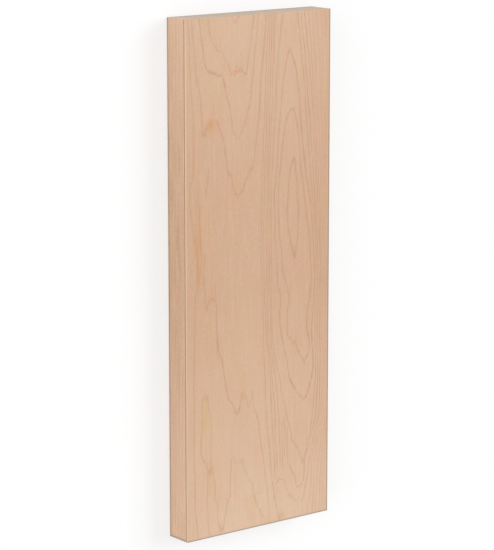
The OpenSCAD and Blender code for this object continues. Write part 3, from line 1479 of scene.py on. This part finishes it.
@dataclass
class Dressing:
    """A material of its own for one solid, with a colour, a satin sheen and fine relief."""

    name: str
    roughness: float = 0.5
    pore_roughness: float = 0.06
    eased_gloss: float = 0.05
    sheen: float = 0.35
    relief: float = 0.12
    relief_depth: float = 0.1
    material: bpy.types.Material = field(init=False)
    wiring: Wiring = field(init=False)

    def __post_init__(self) -> None:
        """Makes the material with an empty tree."""
        self.material = bpy.data.materials.new(self.name)
        self.material.use_nodes = True
        self.material.node_tree.nodes.clear()
        self.wiring = Wiring(self.material.node_tree)

    def close(self, colour: Signal, height: Signal, eased: Signal) -> bpy.types.Material:
        """Joins the colour and relief to the surface.

        Args:
            colour: Base colour.
            height: Relief, in parts of the relief's depth.
            eased: Mask of the eased corners, which sanding has left smoother.

        Returns:
            The finished material.
        """
        wiring = self.wiring
        surface = wiring.node("ShaderNodeBsdfPrincipled")
        bump = wiring.node("ShaderNodeBump")
        bump.inputs["Strength"].default_value = self.relief
        bump.inputs["Distance"].default_value = self.relief_depth * MM
        wiring.feed(bump.inputs["Height"], height)
        wiring.feed(surface.inputs["Base Color"], colour)
        rough = height * self.pore_roughness - eased * self.eased_gloss + self.roughness
        wiring.feed(surface.inputs["Roughness"], rough)
        wiring.feed(surface.inputs["Normal"], Signal(wiring, bump.outputs["Normal"]))
        surface.inputs["Specular IOR Level"].default_value = self.sheen
        output = wiring.node("ShaderNodeOutputMaterial")
        wiring.tree.links.new(surface.outputs["BSDF"], output.inputs["Surface"])
        return self.material


@dataclass
class BoardPart(ABC):
    """A solid of the board. Its finish needs the sizes of the whole board, in millimetres."""

    node: ClassVar[str]
    finish_name: ClassVar[str]
    width: float
    length: float
    thickness: float
    face_ply: float

    @abstractmethod
    def finish(self, ground: Ground) -> tuple[Signal, Signal]:
        """Works out the solid's looks.

        Args:
            ground: What the finish is laid on.

        Returns:
            Its colour and its relief.
        """

    def dress(self) -> bpy.types.Object:
        """Gives the solid its finish.

        Returns:
            The dressed solid.
        """
        dressing = Dressing(self.finish_name)
        ground = Ground.of_board(dressing.wiring, self.width, self.length)
        colour, relief = self.finish(ground)
        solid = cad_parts[self.node]
        solid.material_slots[0].material = dressing.close(colour, relief, ground.eased)
        return solid


@dataclass
class PlywoodSheet(BoardPart):
    """The plywood itself: two veneered faces, two sawn ends and a sawn long edge."""

    node = "plywood_sheet"
    finish_name = "maple plywood"

    def finish(self, ground: Ground) -> tuple[Signal, Signal]:
        """Lays the veneers over the sawn edges, and paints shade and a highlight on the corners.

        Args:
            ground: What the finish is laid on.

        Returns:
            The sheet's colour and its relief.
        """
        front = VeneerFinish().colour(ground)
        back = BackVeneerFinish().colour(ground)
        edge, edge_relief = PlyEdgeFinish(self.thickness, self.face_ply).colour_and_relief(ground)
        faces = ground.front.over(ground.back)
        colour = ground.wiring.blend(ground.front, edge, front)
        colour = ground.wiring.blend(ground.back, colour, back)
        corners = CornerFinish(self.width, self.length, self.thickness, self.face_ply)
        colour = corners.colour(ground, colour)
        return colour, ground.height * faces + edge_relief * (1.0 - faces)


@dataclass
class EdgeLip(BoardPart):
    """The solid wood strip between the face plies on one long edge."""

    node = "edge_lip"
    finish_name = "maple lip"

    def finish(self, ground: Ground) -> tuple[Signal, Signal]:
        """Paints the strip, with the relief of its fibres."""
        strip = LipFinish(self.length, self.thickness, self.face_ply)
        return strip.colour(ground), ground.height


@dataclass(frozen=True)
class SunLamp:
    """A far lamp: where it shines from, how strong it is and how soft its shadows are, in degrees."""

    name: str
    azimuth: float
    elevation: float
    share: float
    spread: float

    def build(self) -> bpy.types.Object:
        """Makes the lamp, with the strength that lights a level white surface to its share of full white.

        Returns:
            The lamp.
        """
        data = bpy.data.lights.new(self.name, "SUN")
        data.energy = self.share * math.pi / math.sin(math.radians(self.elevation))
        data.angle = math.radians(self.spread)
        lamp = bpy.data.objects.new(self.name, data)
        bpy.context.scene.collection.objects.link(lamp)
        tilt = math.radians(90 - self.elevation)
        turn = math.radians(self.azimuth + 90)
        lamp.rotation_euler = (tilt, 0.0, turn)
        return lamp


@dataclass(frozen=True)
class Studio:
    """A pale floor, soft light and the camera, in metres."""

    floor_half: float = 12.0
    floor_gap: float = 0.0001
    floor_colour: Rgb = (0.98, 0.98, 0.98, 1.0)
    floor_roughness: float = 0.9
    plain_share: float = 0.6
    sky_share: float = 0.62
    lamps: tuple[SunLamp, ...] = (
        SunLamp("key", azimuth=22, elevation=40, share=0.27, spread=40),
        SunLamp("fill", azimuth=170, elevation=22, share=0.15, spread=60),
    )
    stand: Triple = (-0.9612, 0.3153, 1.2323)
    aim: Triple = (-0.0024, -0.0009, 0.0095)
    upright: Triple = (0.0, 1.0, 0.0)
    lens: float = 163.8

    def build_floor(self) -> bpy.types.Object:
        """Makes the floor under the board.

        Returns:
            The floor.
        """
        side = self.floor_half
        low = -self.floor_gap
        corners = [(-side, -side, low), (side, -side, low), (side, side, low), (-side, side, low)]
        mesh = bpy.data.meshes.new("floor")
        mesh.from_pydata(corners, [], [(0, 1, 2, 3)])
        floor = bpy.data.objects.new("floor", mesh)
        bpy.context.scene.collection.objects.link(floor)
        mesh.materials.append(self.floor_finish())
        return floor

    def floor_finish(self) -> bpy.types.Material:
        """Makes a matt white that keeps a light shadow: part of it is seen as plain white.

        Returns:
            The floor's material.
        """
        material = bpy.data.materials.new("floor")
        material.use_nodes = True
        wiring = Wiring(material.node_tree)
        surface = material.node_tree.nodes["Principled BSDF"]
        surface.inputs["Base Color"].default_value = self.floor_colour
        surface.inputs["Roughness"].default_value = self.floor_roughness
        surface.inputs["Specular IOR Level"].default_value = 0.0
        plain = wiring.node("ShaderNodeEmission")
        both = wiring.node("ShaderNodeMixShader")
        wiring.feed(both.inputs["Fac"], self.seen(wiring) * self.plain_share)
        wiring.tree.links.new(surface.outputs["BSDF"], both.inputs[1])
        wiring.tree.links.new(plain.outputs["Emission"], both.inputs[2])
        output = material.node_tree.nodes["Material Output"]
        wiring.tree.links.new(both.outputs["Shader"], output.inputs["Surface"])
        return material

    def seen(self, wiring: Wiring) -> Signal:
        """Tells rays that show a surface, directly, in a gloss or through glass, from those that light.

        Args:
            wiring: The tree of the material or world.

        Returns:
            1 for rays that show the surface and 0 for the rest.
        """
        path = wiring.node("ShaderNodeLightPath")
        kinds = ("Camera", "Glossy", "Transmission")
        rays = [Signal(wiring, path.outputs[f"Is {kind} Ray"]) for kind in kinds]
        return reduce(Signal.over, rays)

    def build_sky(self) -> bpy.types.World:
        """Makes an even sky that lights the board, and shows as white where it is seen directly.

        Returns:
            The sky.
        """
        world = bpy.data.worlds.new("sky")
        world.use_nodes = True
        bpy.context.scene.world = world
        wiring = Wiring(world.node_tree)
        sky = world.node_tree.nodes["Background"]
        sky.inputs["Color"].default_value = WHITE
        strength = self.seen(wiring) * (1.0 - self.sky_share) + self.sky_share
        wiring.feed(sky.inputs["Strength"], strength)
        return world

    def build_camera(self) -> bpy.types.Object:
        """Stands the camera where it sees the board as the photograph does, its length up the picture.

        Returns:
            The camera.
        """
        data = bpy.data.cameras.new("camera")
        data.lens = self.lens
        camera = bpy.data.objects.new("camera", data)
        bpy.context.scene.collection.objects.link(camera)
        stand = Vector(self.stand)
        back = (stand - Vector(self.aim)).normalized()
        right = Vector(self.upright).cross(back).normalized()
        up = back.cross(right)
        turn = Matrix((right, up, back)).transposed()
        camera.matrix_world = Matrix.Translation(stand) @ turn.to_4x4()
        bpy.context.scene.camera = camera
        return camera

    def build(self) -> None:
        """Makes the whole studio, and reports each piece of it."""
        made = [self.build_floor(), self.build_sky()]
        made += [lamp.build() for lamp in self.lamps]
        made.append(self.build_camera())
        bpy.context.scene.view_settings.view_transform = "Standard"
        for piece in made:
            LOG.info("%s built", piece.name)


def board_sizes() -> dict[str, float]:
    """Measures the board on the frame.

    Returns:
        Its width, length and thickness and that of its face plies, in millimetres, by name.
    """
    sheet_low, sheet_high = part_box("plywood_sheet")
    lip_low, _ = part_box("edge_lip")
    return {
        "width": (sheet_high.x - sheet_low.x) / MM,
        "length": (sheet_high.y - sheet_low.y) / MM,
        "thickness": (sheet_high.z - sheet_low.z) / MM,
        "face_ply": (lip_low.z - sheet_low.z) / MM,
    }


def main() -> None:
    """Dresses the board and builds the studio."""
    logging.basicConfig(level=logging.INFO, format="%(name)s: %(message)s")
    sizes = board_sizes()
    for part in (PlywoodSheet(**sizes), EdgeLip(**sizes)):
        LOG.info("%s dressed", part.dress().name)
    Studio().build()


if __name__ == "__main__":
    main()
